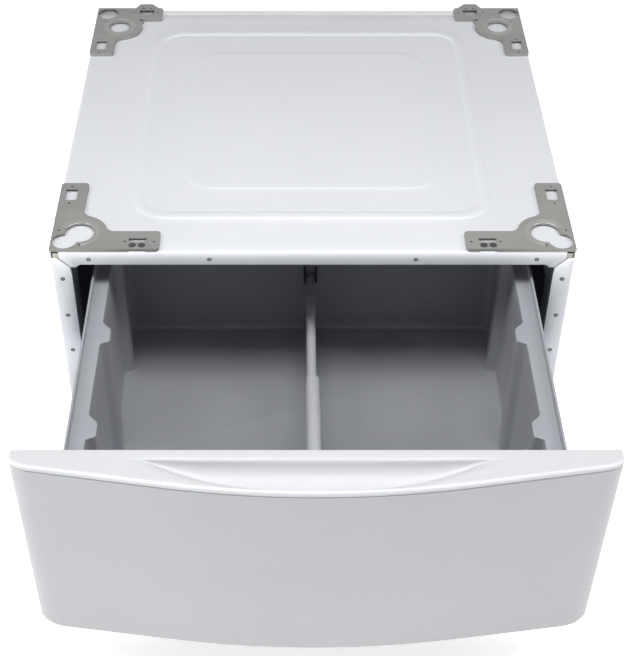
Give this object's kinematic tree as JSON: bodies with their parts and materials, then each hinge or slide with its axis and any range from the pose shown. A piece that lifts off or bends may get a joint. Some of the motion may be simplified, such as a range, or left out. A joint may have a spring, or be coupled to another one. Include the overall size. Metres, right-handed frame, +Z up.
{
  "type": "laundry pedestal drawer",
  "caption": "White steel laundry pedestal with steel top brackets, a bowed full-width drawer shown open, a grey divided tub and levelling feet.",
  "frame": {"origin": "on the floor, in the middle of the box round the pedestal with its drawer open as pictured", "axes": "+X to the right as seen from the front, +Y from the drawer front to the cabinet's back, +Z up"},
  "size_m": [0.686, 1.05, 0.3866],
  "materials": {
    "cabinet_paint": "satin white",
    "galvanised_sheet": "galvanised",
    "bracket_steel": "zinc plated, satin",
    "zinc_hardware": "bright zinc",
    "ball_steel": "polished",
    "front_plastic": "gloss white",
    "tub_plastic": "fine grain",
    "divider_plastic": "fine grain",
    "black_rubber": "matt"
  },
  "bodies": {
    "cabinet": {"cabinet_wrap": "cabinet_paint", "back_panel": "galvanised_sheet", "left_front_post": "galvanised_sheet", "right_front_post": "galvanised_sheet", "left_rear_post": "galvanised_sheet", "right_rear_post": "galvanised_sheet", "front_header": "galvanised_sheet", "front_deck_beam": "galvanised_sheet", "middle_deck_beam": "galvanised_sheet", "rear_deck_beam": "galvanised_sheet", "front_base_rail": "cabinet_paint", "rear_base_rail": "galvanised_sheet", "left_base_rail": "galvanised_sheet", "right_base_rail": "galvanised_sheet", "corner_gussets": "galvanised_sheet", "weld_nuts": "zinc_hardware", "left_slide_support": "galvanised_sheet", "right_slide_support": "galvanised_sheet", "left_cabinet_slide": "zinc_hardware", "right_cabinet_slide": "zinc_hardware", "front_left_bracket": "bracket_steel", "front_right_bracket": "bracket_steel", "rear_left_bracket": "bracket_steel", "rear_right_bracket": "bracket_steel", "flange_rivets": "cabinet_paint", "back_screws": "zinc_hardware", "support_screws": "zinc_hardware"},
    "drawer": {"drawer_front": "front_plastic", "front_cap": "front_plastic", "front_stiffener": "galvanised_sheet", "stiffener_screws": "zinc_hardware", "closing_bumpers": "black_rubber", "drawer_tub": "tub_plastic", "left_tub_rail": "galvanised_sheet", "right_tub_rail": "galvanised_sheet", "tub_screws": "zinc_hardware", "left_drawer_slide": "zinc_hardware", "right_drawer_slide": "zinc_hardware", "slide_screws": "zinc_hardware"},
    "left_cage": {"left_ball_cage": "zinc_hardware", "left_balls": "ball_steel"},
    "right_cage": {"right_ball_cage": "zinc_hardware", "right_balls": "ball_steel"},
    "tub_divider": {"divider": "divider_plastic"},
    "front_left_foot": {"front_left_pad": "black_rubber"},
    "front_left_screw": {"front_left_stud": "zinc_hardware"},
    "front_right_foot": {"front_right_pad": "black_rubber"},
    "front_right_screw": {"front_right_stud": "zinc_hardware"},
    "rear_left_foot": {"rear_left_pad": "black_rubber"},
    "rear_left_screw": {"rear_left_stud": "zinc_hardware"},
    "rear_right_foot": {"rear_right_pad": "black_rubber"},
    "rear_right_screw": {"rear_right_stud": "zinc_hardware"}
  },
  "joints": [
    {"name": "drawer_slide", "type": "slide", "parent": "cabinet", "child": "drawer", "axis": [0, -1, 0], "range_m": [-0.3417, 0]},
    {"name": "left_cage_slide", "type": "slide", "parent": "cabinet", "child": "left_cage", "axis": [0, -1, 0], "range_m": [-0.171, 0]},
    {"name": "right_cage_slide", "type": "slide", "parent": "cabinet", "child": "right_cage", "axis": [0, -1, 0], "range_m": [-0.171, 0]},
    {"name": "divider_lift", "type": "slide", "parent": "drawer", "child": "tub_divider", "axis": [0, 0, 1], "range_m": [0, 0.044]},
    {"name": "front_left_foot_height", "type": "slide", "parent": "cabinet", "child": "front_left_foot", "axis": [0, 0, -1], "range_m": [-0.007, 0.015]},
    {"name": "front_left_stud_turn", "type": "hinge", "parent": "front_left_foot", "child": "front_left_screw", "pos_m": [-0.3, -0.062, 0.02], "axis": [0, 0, 1], "range_deg": [-3610, 1690]},
    {"name": "front_right_foot_height", "type": "slide", "parent": "cabinet", "child": "front_right_foot", "axis": [0, 0, -1], "range_m": [-0.007, 0.015]},
    {"name": "front_right_stud_turn", "type": "hinge", "parent": "front_right_foot", "child": "front_right_screw", "pos_m": [0.3, -0.062, 0.02], "axis": [0, 0, 1], "range_deg": [-3610, 1690]},
    {"name": "rear_left_foot_height", "type": "slide", "parent": "cabinet", "child": "rear_left_foot", "axis": [0, 0, -1], "range_m": [-0.007, 0.015]},
    {"name": "rear_left_stud_turn", "type": "hinge", "parent": "rear_left_foot", "child": "rear_left_screw", "pos_m": [-0.3, 0.458, 0.02], "axis": [0, 0, 1], "range_deg": [-3610, 1690]},
    {"name": "rear_right_foot_height", "type": "slide", "parent": "cabinet", "child": "rear_right_foot", "axis": [0, 0, -1], "range_m": [-0.007, 0.015]},
    {"name": "rear_right_stud_turn", "type": "hinge", "parent": "rear_right_foot", "child": "rear_right_screw", "pos_m": [0.3, 0.458, 0.02], "axis": [0, 0, 1], "range_deg": [-3610, 1690]}
  ],
  "couplings": [
    {"joint": "left_cage_slide", "follows": "drawer_slide", "ratio": 0.5},
    {"joint": "right_cage_slide", "follows": "drawer_slide", "ratio": 0.5},
    {"joint": "front_left_stud_turn", "follows": "front_left_foot_height", "rad_per_m": -4188.8},
    {"joint": "front_right_stud_turn", "follows": "front_right_foot_height", "rad_per_m": -4188.8},
    {"joint": "rear_left_stud_turn", "follows": "rear_left_foot_height", "rad_per_m": -4188.8},
    {"joint": "rear_right_stud_turn", "follows": "rear_right_foot_height", "rad_per_m": -4188.8}
  ]
}
